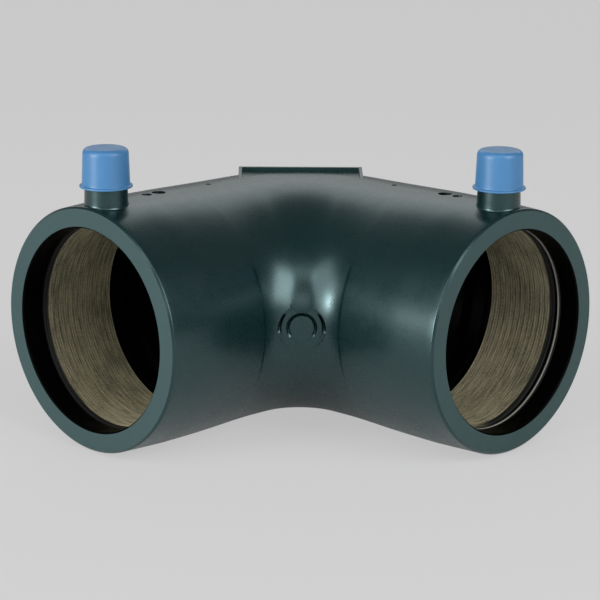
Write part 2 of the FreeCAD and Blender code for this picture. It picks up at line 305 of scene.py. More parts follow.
@dataclass(frozen=True)
class Layout:
    """Where the sockets and the bend lie, from the frame's socket mounts and the sizes of the moulding."""

    bore_radius: float
    axis_height: float
    corner_y: float
    leg: float
    half_bend: float = math.radians(45)
    throat_radius: float = 15.6 * MM
    crown_turn_radius: float = 22.0 * MM
    root_step: float = 0.6 * MM
    stop_width: float = 3.75 * MM
    terminal_depth: float = 7.8 * MM
    well_depths: tuple[float, ...] = (29.2 * MM, 24.2 * MM, 50.3 * MM)
    settling_steps: int = 12

    @classmethod
    def from_frame(cls, mouth_chamfer: float = 0.5 * MM) -> "Layout":
        """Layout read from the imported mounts.

        Args:
            mouth_chamfer: How far the bore's straight wall starts behind the mouth.

        Returns:
            The layout in metres.
        """
        mount = next(m for m in frame["record"]["mounts"] if m["name"] == "socket_right")
        place, axis = np.array(mount["pos_m"]), np.array(mount["axis"])
        corner = place - axis * place[0] / axis[0]
        to_mouth = mount["dims"]["length_mm"] * MM / 2 + mouth_chamfer
        leg = np.linalg.norm(place - corner) + to_mouth
        return cls(mount["dims"]["r_mm"] * MM, place[2], corner[1], leg)

    @property
    def outer_radius(self) -> float:
        """Outer radius of a socket: it lies on the floor."""
        return self.axis_height

    @property
    def bend_outer_radius(self) -> float:
        """Outer radius of the bend."""
        return self.outer_radius - self.root_step

    @property
    def bend_bore_radius(self) -> float:
        """Inner radius of the bend."""
        return self.bore_radius - self.stop_width

    @property
    def bend_radius(self) -> float:
        """Distance from the turning axis to the pipe axis at the roots."""
        return self.throat_radius + self.bend_outer_radius

    @property
    def socket_length(self) -> float:
        """Depth of the bend's root plane behind the mouth."""
        return self.leg - self.bend_radius * math.tan(self.half_bend)

    @property
    def turning_y(self) -> float:
        """Y of the turning axis of the bend."""
        return self.corner_y - self.bend_radius / math.cos(self.half_bend)

    @property
    def crown_y(self) -> float:
        """Distance from the turning axis to the crown line in the middle."""
        return (self.bend_radius - self.crown_turn_radius) / math.cos(self.half_bend) + self.crown_turn_radius

    @property
    def crown_middle(self) -> Array:
        """Point of the crown line in the middle of the bend."""
        return np.array([0.0, self.turning_y + self.crown_y, self.axis_height + self.bend_outer_radius])

    def axis(self, side: Side) -> Array:
        """Direction of a socket's axis, out of its mouth."""
        return np.array([side.value * math.cos(self.half_bend), -math.sin(self.half_bend), 0.0])

    def outwards(self, side: Side) -> Array:
        """Level direction at a right angle to a socket's axis, away from the throat."""
        return np.array([side.value * math.sin(self.half_bend), math.cos(self.half_bend), 0.0])

    def mouth(self, side: Side) -> Array:
        """Middle of a mouth."""
        return np.array([0.0, self.corner_y, self.axis_height]) + self.axis(side) * self.leg

    def crown_point(self, side: Side, depth: float, height: float = 0.0) -> Array:
        """Point at a depth behind a socket's mouth and a height over its crown line."""
        return self.mouth(side) - self.axis(side) * depth + UP * (self.outer_radius + height)

    def socket_matrix(self, side: Side) -> Array:
        """Matrix that puts +Z on a socket's axis out of the mouth, with +Y up and the origin at the mouth."""
        axis = self.axis(side)
        return framed(np.cross(UP, axis), UP, axis, self.mouth(side))

    def distance_from_turn(self, phi: Array, offset: float | Array) -> Array:
        """Distance from the turning axis to a line round the bend.

        It is straight along each leg, with an arc of the crown's turning radius plus offset between.

        Args:
            phi: Angles from the middle of the bend.
            offset: Distance of the line outside the pipe axis.

        Returns:
            One distance for each angle.
        """
        centre = self.crown_y - self.crown_turn_radius
        arc_radius = self.crown_turn_radius + offset
        straight = (self.bend_radius + offset) / np.cos(self.half_bend - np.abs(phi))
        inside = np.maximum(arc_radius ** 2 - (centre * np.sin(phi)) ** 2, 0.0)
        arc = centre * np.cos(phi) + np.sqrt(inside)
        turned = np.arctan2(arc * np.sin(np.abs(phi)), arc * np.cos(phi) - centre)
        return np.where((inside > 0) & (turned < self.half_bend), arc, straight)

    def bend_surface(self, phi: Array, around: Array, radius: float | Array) -> Array:
        """Points of the bend: in each plane through the turning axis, half an ellipse beside the crown line.

        A point lies half-axis times cosine beyond the crown line and radius times sine over the pipe axes.

        Args:
            phi: Angles from the middle of the bend.
            around: Angles around the section, from the outer wall over the crown.
            radius: Radius of the section, one or one for each point.

        Returns:
            One point for each pair of angles.
        """
        crown = self.distance_from_turn(phi, 0.0)
        back = self.distance_from_turn(phi, radius)
        throat = self.bend_radius - radius
        across = np.where(np.cos(around) > 0, back - crown, crown - throat)
        distance = crown + across * np.cos(around)
        height = self.axis_height + radius * np.sin(around)
        return np.stack([distance * np.sin(phi), self.turning_y + distance * np.cos(phi), height], axis=-1)

    def bend_angle_at(self, past_root: float, around: Array, radius: float) -> Array:
        """Angles from the middle at which the bend's surface crosses a plane across a socket's axis.

        The angle from the root plane is the arcsine of past_root over the point's distance from the turning
        axis, repeated until it settles.

        Args:
            past_root: Distance of the plane behind the root.
            around: Angles around the section.
            radius: Radius of the section.

        Returns:
            One positive angle for each angle around.
        """
        angle = np.full(around.shape, self.half_bend)
        for _ in range(self.settling_steps):
            point = self.bend_surface(angle, around, radius)
            distance = np.hypot(point[..., 0], point[..., 1] - self.turning_y)
            angle = self.half_bend - np.arcsin(past_root / distance)
        return angle


# Finishes


class NodeSheet:
    """Node tree of one material, with short calls for the nodes that the finishes use."""

    def __init__(self, name: str) -> None:
        """Starts the tree with the object's own coordinates.

        Args:
            name: Name of the material.
        """
        self.material = bpy.data.materials.new(name)
        self.material.use_nodes = True
        self.tree = self.material.node_tree
        self.tree.nodes.clear()
        self.place = self.add("TexCoord", {}).outputs["Object"]

    def add(self, kind: str, inputs: dict[str | int, Value], **options: str) -> bpy.types.Node:
        """Adds a node.

        Args:
            kind: Kind of node.
            inputs: What goes into its inputs, by name or number; a socket is joined, all else is set.
            options: Settings of the node.

        Returns:
            The node.
        """
        node = self.tree.nodes.new("ShaderNode" + kind)
        for name, option in options.items():
            setattr(node, name, option)
        for name, value in inputs.items():
            target = node.inputs[name]
            if isinstance(value, Socket):
                self.tree.links.new(value, target)
            else:
                target.default_value = (*value, 1.0) if target.type == "RGBA" else value
        return node

    def attribute(self, name: str, output: str = "Fac") -> Socket:
        """Value that the mesh stores under a name."""
        return self.add("Attribute", {}, attribute_name=name).outputs[output]

    def stretched(self, place: Socket, scale: Triple) -> Socket:
        """Coordinates multiplied by a scale along each axis."""
        return self.add("Mapping", {"Vector": place, "Scale": scale}).outputs["Vector"]

    def noise(self, scale: float, detail: float, roughness: float, place: Socket | None = None) -> Socket:
        """Cloudy value from 0 to 1, from clouds per metre, the number of finer layers and their weight."""
        clouds = {"Vector": self.place if place is None else place,
                  "Scale": scale, "Detail": detail, "Roughness": roughness}
        return self.add("TexNoise", clouds).outputs["Fac"]

    def math(self, operation: str, first: Socket, second: Value = 0.0) -> Socket:
        """One sum, product or the like of two values."""
        return self.add("Math", {0: first, 1: second}, operation=operation).outputs["Value"]

    def map_range(self, value: Socket, low: float, high: float, out_low: float, out_high: float) -> Socket:
        """Value stretched from one range to another and held at its ends."""
        ends = {"From Min": low, "From Max": high, "To Min": out_low, "To Max": out_high}
        return self.add("MapRange", {"Value": value, **ends}).outputs["Result"]

    def varied(self, value: Socket, ends: Pair, middle: float, spread: float) -> Socket:
        """Number from a spread below its middle, at one end of a value's range, to a spread above it."""
        return self.map_range(value, *ends, middle - spread, middle + spread)

    def mix_colour(self, share: Socket, first: Value, second: Value) -> Socket:
        """Blend of two colours by the share of the second."""
        return self.add("Mix", {"Factor": share, 6: first, 7: second}, data_type="RGBA").outputs[2]

    def bump(self, height: Socket, distance: float, strength: float) -> Socket:
        """Relief from a height of 0 to 1, its size in metres and the share of it that shows."""
        relief = {"Height": height, "Distance": distance, "Strength": strength}
        return self.add("Bump", relief).outputs["Normal"]

    def surface(self, inputs: dict[str | int, Value]) -> Finish:
        """The material, with a plain shader of these inputs as its surface."""
        return self.finish(self.add("BsdfPrincipled", inputs))

    def finish(self, shader: bpy.types.Node) -> Finish:
        """The material, with a shader as its surface."""
        self.add("OutputMaterial", {"Surface": shader.outputs[0]})
        return self.material


@dataclass(frozen=True)
class Plastic:
    """Moulded plastic with a slightly uneven colour, gloss and surface."""

    name: str
    colour: Triple
    shade: Triple
    roughness: float = 0.42
    roughness_spread: float = 0.08
    specular: float = 0.5
    specular_tint: Triple = (1.0, 1.0, 1.0)
    patch_scale: float = 45.0
    mottle_scale: float = 260.0
    mottle_ends: Pair = (0.35, 0.65)
    grain_scale: float = 1400.0
    grain_height: float = 0.008 * MM
    grain_strength: float = 0.6

    def build(self) -> Finish:
        """Material of this plastic: cloudy tone, mottled gloss and a fine grain in the surface."""
        sheet = NodeSheet(self.name)
        cloud = sheet.noise(self.patch_scale, 4.0, 0.6)
        mottle = sheet.noise(self.mottle_scale, 5.0, 0.65)
        grain = sheet.noise(self.grain_scale, 3.0, 0.5)
        return sheet.surface({
            "Base Color": sheet.mix_colour(cloud, self.colour, self.shade),
            "Roughness": sheet.varied(mottle, self.mottle_ends, self.roughness, self.roughness_spread),
            "Specular IOR Level": self.specular,
            "Specular Tint": self.specular_tint,
            "Normal": sheet.bump(grain, self.grain_height, self.grain_strength),
        })


@dataclass(frozen=True)
class WireCoating:
    """Thin olive skin over the heating wire, with fine marks along each turn, painted shade in its groove and
    along its edges, and a painted highlight on the lead turn's crest.
    """

    name: str
    colour: Triple
    shade: Triple
    # Painted highlight: pale colour for a thin strip along the lead turn's crest.
    crest_highlight_colour: Triple
    skin_colour: Triple = (0.002, 0.002, 0.002)
    # Painted shade: darker olive laid into the groove between the crests and along the wire's two edges.
    crease_shade_colour: Triple = (0.022, 0.021, 0.012)
    crease_shade_share: float = 0.55
    edge_shade_start: float = 0.62 * MM
    edge_shade_end: float = 0.90 * MM
    groove_shade_half_width: float = 0.24 * MM
    highlight_half_width: float = 0.26 * MM
    highlight_fade: float = 1.4
    speck_scale: float = 1700.0
    speck_ends: Pair = (0.3, 0.7)
    speck_share: float = 0.3
    streak_scale: Triple = (150.0, 2400.0, 600.0)
    streak_share: float = 0.45
    patch_scale: float = 75.0
    patch_share: float = 0.25
    tone_ends: Pair = (0.40, 0.59)
    roughness: float = 0.55
    roughness_spread: float = 0.12
    mark_height: float = 0.14 * MM
    mark_strength: float = 0.8

    def build(self) -> Finish:
        """Material of the coating: grainy olive, streaked along the wire, with black skin on the lead turn
        and a painted highlight along that turn's crest.

        Painted shade darkens the groove between the two crests and the wire's two edges.
        """
        sheet = NodeSheet(self.name)
        wound = sheet.attribute("wound", "Vector")
        speck = sheet.noise(self.speck_scale, 2.0, 0.7)
        streak = sheet.noise(1.0, 2.0, 0.6, sheet.stretched(wound, self.streak_scale))
        patch = sheet.noise(self.patch_scale, 3.0, 0.6)
        weighed = ((speck, self.speck_share), (streak, self.streak_share), (patch, self.patch_share))
        specks, streaks, patches = (sheet.math("MULTIPLY", value, share) for value, share in weighed)
        marks = sheet.math("ADD", specks, streaks)
        spread = sheet.map_range(sheet.math("ADD", marks, patches), *self.tone_ends, 0.0, 1.0)
        olive = sheet.mix_colour(spread, self.shade, self.colour)
        across = sheet.math("ABSOLUTE", sheet.add("SeparateXYZ", {"Vector": wound}).outputs["Y"])
        # Painted shade in the groove between the crests and at the wire's edges, where it meets the bed.
        edges = sheet.map_range(across, self.edge_shade_start, self.edge_shade_end, 0.0, self.crease_shade_share)
        groove = sheet.map_range(across, 0.0, self.groove_shade_half_width, self.crease_shade_share, 0.0)
        crease_shaded = sheet.mix_colour(sheet.math("MAXIMUM", edges, groove), olive, self.crease_shade_colour)
        # Painted highlight: a pale strip along the lead turn's crest, where the pale attribute is set.
        highlight_end = self.highlight_half_width * self.highlight_fade
        highlight_strip = sheet.map_range(across, self.highlight_half_width, highlight_end, 1.0, 0.0)
        pale = sheet.math("MULTIPLY", highlight_strip, sheet.attribute("pale"))
        black = sheet.mix_colour(pale, self.skin_colour, self.crest_highlight_colour)
        return sheet.surface({
            "Base Color": sheet.mix_colour(sheet.attribute("skin"), crease_shaded, black),
            "Roughness": sheet.varied(speck, self.speck_ends, self.roughness, self.roughness_spread),
            "Normal": sheet.bump(marks, self.mark_height, self.mark_strength),
        })


@dataclass(frozen=True)
class TurnedMetal:
    """Bright metal with fine turning marks round a vertical axis."""

    name: str
    colour: Triple
    shade: Triple
    roughness: float = 0.3
    roughness_spread: float = 0.1
    ring_scale: Triple = (20.0, 20.0, 4000.0)
    ring_ends: Pair = (0.3, 0.7)

    def build(self) -> Finish:
        """Material of the metal: tone and gloss vary in thin level rings."""
        sheet = NodeSheet(self.name)
        ring = sheet.noise(1.0, 2.0, 0.5, sheet.stretched(sheet.place, self.ring_scale))
        return sheet.surface({
            "Base Color": sheet.mix_colour(ring, self.colour, self.shade),
            "Roughness": sheet.varied(ring, self.ring_ends, self.roughness, self.roughness_spread),
            "Metallic": 1.0,
        })


@dataclass(frozen=True)
class StudioPaper:
    """Plain pale paper of the floor."""

    name: str = "studio_paper"
    colour: Triple = (0.80, 0.80, 0.80)
    fleck_scale: float = 3.0
    fleck_shade: float = 0.985
    roughness: float = 0.9
    specular: float = 0.1
    seen_tone: Triple = (0.604, 0.604, 0.604)
    seen_share: float = 0.8
    mirrored_share: float = 0.3

    def build(self) -> Finish:
        """Material of the paper: matt, and for rays that show it, mixed with its even tone.

        The mix keeps a share of the lit paper, and with it the elbow's shadow.
        """
        sheet = NodeSheet(self.name)
        darker = tuple(c * self.fleck_shade for c in self.colour)
        paper = sheet.add("BsdfPrincipled", {
            "Base Color": sheet.mix_colour(sheet.noise(self.fleck_scale, 2.0, 0.5), self.colour, darker),
            "Roughness": self.roughness,
            "Specular IOR Level": self.specular,
        })
        tone = sheet.add("Emission", {"Color": self.seen_tone})
        rays = sheet.add("LightPath", {}).outputs
        mirrored = sheet.math("MULTIPLY", rays["Is Glossy Ray"], self.mirrored_share)
        seen = sheet.math("MAXIMUM", rays["Is Camera Ray"], mirrored)
        seen = sheet.math("MAXIMUM", seen, rays["Is Transmission Ray"])
        share = sheet.math("MULTIPLY", seen, self.seen_share)
        return sheet.finish(sheet.add("MixShader", {"Fac": share, 1: paper.outputs[0], 2: tone.outputs[0]}))


@dataclass(frozen=True)
class Finishes:
    """Materials of the elbow, each built once."""

    outside: Finish
    mouth_face: Finish
    # Painted shade in the sockets' bores.
    bore: Finish
    wire: Finish
    cap: Finish
    pin: Finish
    indicator: Finish

    @classmethod
    def build(cls) -> "Finishes":
        """All the materials, in the order of the fields."""
        teal = (0.66, 0.97, 1.0)
        kinds = (
            Plastic("moulded_black", (0.0011, 0.0110, 0.0115), (0.0009, 0.0095, 0.0100), 0.28, 0.015,
                    specular=0.8, specular_tint=teal),
            Plastic("faced_black", (0.022, 0.044, 0.045), (0.018, 0.038, 0.039), 0.5, 0.05,
                    specular=0.6, specular_tint=teal, grain_scale=2600.0),
            # Painted shade: the bore is darker than the outside and all but without gloss, standing in for
            # the shade inside the sockets.
            Plastic("bore_black", (0.0006, 0.0008, 0.0008), (0.0004, 0.0005, 0.0005), 0.45, specular=0.03),
            WireCoating("wire_coating", (0.410, 0.365, 0.230), (0.100, 0.096, 0.056), (0.34, 0.34, 0.31)),
            Plastic("cap_blue", (0.047, 0.168, 0.345), (0.038, 0.146, 0.310), 0.38, 0.05, grain_scale=900.0),
            TurnedMetal("pin_brass", (0.72, 0.62, 0.36), (0.55, 0.46, 0.25)),
            Plastic("indicator_black", (0.006, 0.010, 0.011), (0.004, 0.007, 0.008), 0.5),
        )
        return cls(*(kind.build() for kind in kinds))


# Pieces


def give_materials(mesh: Mesh, materials: list[Finish]) -> None:
    """Puts materials into the empty slots of a mesh, in order."""
    for material in materials:
        mesh.materials.append(material)


def finish_piece(piece: Thing, materials: list[Finish], replaced: list[str],
                 sharp_angle: float = 32.0) -> None:
    """Gives a piece its materials and shading, hangs it on the root body and hides the CAD nodes that it
    stands for.

    Args:
        piece: The new object.
        materials: Materials in slot order.
        replaced: CAD nodes that it stands for.
        sharp_angle: Degrees past which an edge stays crisp.
    """
    mesh = piece.data
    if not mesh.materials:
        give_materials(mesh, materials)
    mesh.shade_smooth()
    mesh.set_sharp_from_angle(angle=math.radians(sharp_angle))
    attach(piece, "root")
    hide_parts(*replaced)
    LOG.info("%s: %d faces, stands for %s", piece.name, len(mesh.polygons), ", ".join(replaced))


@dataclass
class Moulding:
    """The black moulding: two sockets, the bend, terminal shrouds, label tray, wells and gate mark."""

    layout: Layout
    finishes: Finishes
    segments: int = 192
    bend_rows: int = 72
    row_spacing: float = 2.4 * MM
    mouth_draft: float = 0.65 * MM
    draft_length: float = 17.0 * MM
    outer_chamfer: float = 0.6 * MM
    bore_chamfer: float = 0.5 * MM
    socket_depth: float = 44.0 * MM
    root_ramp: float = 1.0 * MM
    soft_root: float = 12.0 * MM
    throat_start: float = 0.80
    throat_full: float = 0.97
    bed_start: float = 6.8 * MM
    bed_end: float = 37.9 * MM
    bed_depth: float = 1.18 * MM
    lathe_segments: int = 96
    shroud_base_radius: float = 6.7 * MM
    shroud_top_radius: float = 6.15 * MM
    shroud_height: float = 15.6 * MM
    shroud_bore_radius: float = 4.8 * MM
    shroud_well: float = 12.5 * MM
    shroud_foot: float = 3.6 * MM
    shroud_root: float = 0.8 * MM
    shroud_root_low: float = 0.35 * MM
    shroud_root_high: float = 0.05 * MM
    shroud_level: float = 3.0 * MM
    shroud_spacing: float = 1.2 * MM
    well_radii: tuple[float, ...] = (2.2 * MM, 1.6 * MM, 0.9 * MM)
    well_floors: tuple[float, ...] = (3.4 * MM, 0.6 * MM, 1.5 * MM)
    well_segments: int = 48
    tray_length: float = 40.2 * MM
    tray_rim_width: float = 1.0 * MM
    tray_rim_height: float = 1.35 * MM
    tray_back: float = 3.0 * MM
    tray_front: float = 11.3 * MM
    tray_foot: float = 4.0 * MM
    tray_edge: float = 0.22 * MM
    tray_inner_edge: float = 0.2 * MM
    tray_floor_drop: float = 0.05 * MM
    tray_floor_thickness: float = 3.0 * MM
    tray_floor_rows: int = 41
    crown_line_points: int = 181
    cutter_margin: float = 2.0 * MM
    gate_face_radius: float = 7.4 * MM
    gate_face_depth: float = 0.3 * MM
    gate_well_radius: float = 4.8 * MM
    gate_nub_sunk: float = 0.1 * MM
    gate_nub_radius: float = 3.7 * MM
    gate_groove: float = 1.6 * MM
    gate_rim_groove: float = 1.15 * MM
    gate_foot_share: float = 0.06
    gate_reach: float = 8.0 * MM
    gate_ring_foot: Pair = (-0.75, 0.15)
    gate_flank_foot: Pair = (-0.25, 0.15)
    gate_flank_top: Pair = (0.68, 0.43)

    @property
    def zone_materials(self) -> list[Finish]:
        """Materials in the order of the zones."""
        return [self.finishes.outside, self.finishes.mouth_face, self.finishes.bore]

    def outer_profile(self) -> Array:
        """Outline of a socket's outside as (depth, radius), from the mouth face to the root."""
        outer, root = self.layout.outer_radius, self.layout.socket_length
        drafted = outer - self.mouth_draft
        corners = [
            [0.0, drafted - self.outer_chamfer], [self.outer_chamfer, drafted], [self.draft_length, outer],
            [root - self.root_ramp, outer], [root, self.layout.bend_outer_radius],
        ]
        outline = rounded_outline(corners, [0.0, 0.5, 160.0, 1.2, 0.0])
        return spread_between(outline, self.row_spacing)

    def bore_profile(self) -> Array:
        """Outline of a socket's bore as (depth, radius), from the mouth face to the pipe stop."""
        bore = self.layout.bore_radius
        bed = bore + self.bed_depth
        corners = [
            [0.0, bore + self.bore_chamfer], [self.bore_chamfer, bore], [self.bed_start, bore],
            [self.bed_start, bed], [self.bed_end, bed], [self.bed_end, bore], [self.socket_depth, bore],
        ]
        outline = rounded_outline(corners, [0.0, 0.4, 0.12, 0.1, 0.1, 0.12, 0.0])
        return spread_between(outline, self.row_spacing)

    def leg_rows(self, side: Side, depth: Array, radius: Array, around: Array) -> Array:
        """Rings of a socket: the mouth's middle, moved in by the depth, plus the radius at each angle.

        Args:
            side: Which socket.
            depth: Depth of each ring, in a column.
            radius: Radius of each ring, in a column or one for each angle.
            around: Angles around, from the outer wall over the crown.

        Returns:
            Grid of points, rings by angles.
        """
        ring = np.cos(around)[:, None] * self.layout.outwards(side) + np.sin(around)[:, None] * UP
        middle = self.layout.mouth(side) - depth * self.layout.axis(side)
        return middle[:, None] + radius[..., None] * ring[None]

    def throat_share(self, around: Array) -> Array:
        """Share of the crisp throat at each angle around: 1 on the throat's side, 0 elsewhere."""
        return eased(ramp(-np.cos(around), self.throat_start, self.throat_full))

    def step_left(self, past_root: Array) -> Array:
        """What is left of the step at the root, which falls along an S that ends twice as far past it."""
        return self.layout.root_step * (1 - eased(ramp(past_root, -self.soft_root, 2 * self.soft_root)))

    def outer_radii(self, profile: Array, around: Array) -> Array:
        """Radii of a socket's outside: the plain outline in the throat, elsewhere one that runs out softly.

        Args:
            profile: Points (depth, radius) of the outline.
            around: Angles around.

        Returns:
            One radius for each point and angle.
        """
        depth, radius = profile[:, :1], profile[:, 1:]
        level = np.where(depth > self.draft_length + self.soft_root / 2, self.layout.outer_radius, radius)
        soft = level - self.layout.root_step + self.step_left(depth - self.layout.socket_length)
        crisp = self.throat_share(around)[None]
        return radius * crisp + soft * (1 - crisp)

    def bend_skin(self, around: Array) -> Array:
        """Rows of the bend's outside between the two root planes: its section plus what is left of the step.

        Args:
            around: Angles around.

        Returns:
            Grid of points, without the rows in the root planes.
        """
        half = self.layout.half_bend
        phi = np.linspace(-half, half, self.bend_rows + 1)[1:-1]
        phi, turn = np.meshgrid(phi, around, indexing="ij")
        past_root = (half - np.abs(phi)) * self.layout.distance_from_turn(phi, 0.0)
        left = self.step_left(past_root) * (1 - self.throat_share(turn))
        return self.layout.bend_surface(phi, turn, self.layout.bend_outer_radius + left)

    def bend_bore(self, around: Array) -> Array:
        """Rows of the bend's bore, evenly spread between the planes of the two pipe stops.

        Args:
            around: Angles around.

        Returns:
            Grid of points from the right stop to the left one.
        """
        radius = self.layout.bend_bore_radius
        edge = self.layout.bend_angle_at(self.socket_depth - self.layout.socket_length, around, radius)
        phi = np.linspace(1.0, -1.0, self.bend_rows // 2 + 1)[:, None] * edge[None]
        return self.layout.bend_surface(phi, np.broadcast_to(around, phi.shape), radius)

    def skin(self) -> Thing:
        """Closed skin of the sockets and the bend: one grid that runs outside and comes back inside."""
        around = np.arange(self.segments) * (2 * np.pi / self.segments)
        profile = self.outer_profile()
        outside = profile[:, :1], self.outer_radii(profile, around)
        bore = np.split(self.bore_profile(), 2, axis=1)
        left, right = ([self.leg_rows(side, *rings, around) for rings in (outside, bore)] for side in Side)
        parts = [
            (left[0], Zone.OUTSIDE), (self.bend_skin(around), Zone.OUTSIDE), (right[0][::-1], Zone.OUTSIDE),
            (right[1], Zone.BORE), (self.bend_bore(around), Zone.BORE), (left[1][::-1], Zone.BORE),
        ]
        zones = np.concatenate([np.full(len(rows), zone.value) for rows, zone in parts])
        ends = np.cumsum([len(rows) for rows, _ in parts]) - 1
        zones[[ends[2], ends[5]]] = Zone.MOUTH_FACE.value
        piece = grid_object("elbow_moulding", np.concatenate([rows for rows, _ in parts]), True, zones)
        give_materials(piece.data, self.zone_materials)
        return piece

    def surface_height(self, depth: Array, across: Array) -> Array:
        """Height of a socket's outside: the axis plus the root of radius squared less across squared."""
        radius = np.interp(depth, *self.outer_profile().T)
        return self.layout.axis_height + np.sqrt(np.maximum(radius ** 2 - across ** 2, 0.0))

    def shroud(self, side: Side) -> Thing:
        """Collar round a terminal: a lathe form, lowered by the drop of the socket's surface under its foot.

        The drop fades out with height.

        Args:
            side: Which socket.

        Returns:
            The collar as a closed object.
        """
        base, bore, top = self.shroud_base_radius, self.shroud_bore_radius, self.shroud_height
        floor = top - self.shroud_well
        corners = [
            [0.0, -self.shroud_foot], [base, -self.shroud_foot],
            [base + self.shroud_root, -self.shroud_root_low], [base, self.shroud_root_high],
            [self.shroud_top_radius, top], [bore, top], [bore, floor], [0.0, floor],
        ]
        outline = rounded_outline(corners, [0.0, 0.0, 0.0, 1.3, 0.4, 0.35, 0.3, 0.0], 8)
        grid = lathe_grid(spread_between(outline, self.shroud_spacing), self.lathe_segments)
        depth = self.layout.terminal_depth
        foot = self.layout.crown_point(side, depth)
        drop = self.surface_height(depth - grid[..., 0], grid[..., 1]) - foot[2]
        height = grid[..., 2] + drop * ramp(grid[..., 2], self.shroud_level, 0.0)
        axis, outwards = self.layout.axis(side), self.layout.outwards(side)
        points = foot + grid[..., :1] * axis + grid[..., 1:2] * outwards + height[..., None] * UP
        return grid_object("shroud", points)

    def crown_wells(self, side: Side) -> list[Thing]:
        """Cutters of the indicator's well and the two smaller marks on one socket's crown.

        Args:
            side: Which socket.

        Returns:
            Three closed lathe forms.
        """
        cutters, top = [], self.cutter_margin
        for depth, radius, floor in zip(self.layout.well_depths, self.well_radii, self.well_floors):
            corners = [[0.0, -floor], [radius, -floor], [radius, top], [0.0, top]]
            grid = lathe_grid(rounded_outline(corners, [0.0, 0.25, 0.0, 0.0]), self.well_segments)
            cutters.append(grid_object("well", grid + self.layout.crown_point(side, depth)))
        return cutters

    def tray_walls(self) -> Thing:
        """Walls of the label tray: one behind the crown line and one at each end, sloping down forwards."""
        crown, crown_z = self.layout.crown_middle[1:]
        half, back, front = self.tray_length / 2, crown + self.tray_back, crown - self.tray_front
        low, rim = crown_z - self.tray_foot, crown_z + self.tray_rim_height
        block = bevelled_block("tray_walls", [
            [-half, front, low], [half, front, low], [half, back, low], [-half, back, low],
            [-half, front, crown_z], [half, front, crown_z], [half, back, rim], [-half, back, rim],
        ], self.tray_edge)
        inner, stop, past = half - self.tray_rim_width, back - self.tray_rim_width, self.cutter_margin
        hollow = bevelled_block("tray_hollow", [
            [x, y, z] for z in (low - past, rim + past)
            for x, y in ((-inner, front - past), (inner, front - past), (inner, stop), (-inner, stop))
        ], self.tray_inner_edge)
        combine(block, [hollow], Join.CUT)
        return block

    def tray_floor(self) -> Thing:
        """Floor of the label tray: a flat plate just below the crown, from its line to the back wall."""
        lay = self.layout
        crown, crown_z = lay.crown_middle[1:]
        phi = np.linspace(-lay.half_bend, lay.half_bend, self.crown_line_points)
        line = lay.distance_from_turn(phi, 0.0)
        half = self.tray_length / 2 - self.tray_rim_width / 2
        x = np.linspace(-half, half, self.tray_floor_rows)
        front = np.interp(x, line * np.sin(phi), lay.turning_y + line * np.cos(phi))
        back = np.full_like(x, crown + self.tray_back - self.tray_rim_width / 2)
        floor = np.full_like(x, crown_z - self.tray_floor_drop)
        low = floor - self.tray_floor_thickness
        corners = [(x, front, floor), (x, back, floor), (x, back, low), (x, front, low)]
        rows = np.stack([np.stack(corner, axis=-1) for corner in corners], axis=1)
        return grid_object("tray_floor", capped(rows))

    def gate_cutter(self) -> Thing:
        """Cutter of the gate mark: a spot face with V grooves at its edge and round the sprue's stub.

        The inner groove fades near its foot, the outer one all but on its flanks, both along ramps of the
        sine of the angle round the mark.
        """
        face, outer, inner = self.gate_face_depth, self.gate_face_radius, self.gate_well_radius
        floor, rim, nub = face + self.gate_groove, outer - self.gate_rim_groove, self.gate_nub_radius
        stub = face + self.gate_nub_sunk
        corners = [
            [0.0, stub], [nub, stub], [(nub + inner) / 2, floor], [inner, face], [rim, face],
            [(rim + outer) / 2, floor], [outer, face], [outer, -self.gate_reach], [0.0, -self.gate_reach],
        ]
        outline = rounded_outline(corners, [0.0, 0.12, 0.08, 0.12, 0.12, 0.08, 0.0, 0.0, 0.0])
        grid = lathe_grid(outline, self.lathe_segments)
        place = np.array([0.0, self.layout.turning_y + self.layout.throat_radius, self.layout.axis_height])
        away = np.hypot(grid[..., 0], grid[..., 1])
        rise = grid[..., 1] / np.maximum(away, TINY)
        flanks = ramp(rise, *self.gate_flank_top) * ramp(rise, *self.gate_flank_foot)
        share = np.where(away > (inner + rim) / 2, flanks, ramp(rise, *self.gate_ring_foot))
        kept = self.gate_foot_share + (1 - self.gate_foot_share) * share
        sunk = np.where(grid[..., 2] > face, face + (grid[..., 2] - face) * kept, grid[..., 2])
        return grid_object("gate", place + np.stack([grid[..., 0], sunk, grid[..., 1]], axis=-1))

    def build(self) -> Thing:
        """Builds and dresses the moulding."""
        piece = self.skin()
        shrouds = [self.shroud(side) for side in Side]
        combine(piece, [*shrouds, self.tray_walls(), self.tray_floor()], Join.ADD)
        wells = [cutter for side in Side for cutter in self.crown_wells(side)]
        combine(piece, [*wells, self.gate_cutter()], Join.CUT)
        finish_piece(piece, self.zone_materials, ["elbow_body"])
        return piece


@dataclass
class SocketPiece:
    """Piece that each socket has one of."""

    layout: Layout
    finishes: Finishes
    side: Side

    def lathe(self, name: str, profile: Array, segments: int, depth: float, height: float) -> Thing:
        """Upright lathe form with its zero at a depth behind the mouth and a height over the crown line."""
        grid = lathe_grid(profile, segments) + self.layout.crown_point(self.side, depth, height)
        return grid_object(f"{name}_{self.side.label}", grid)


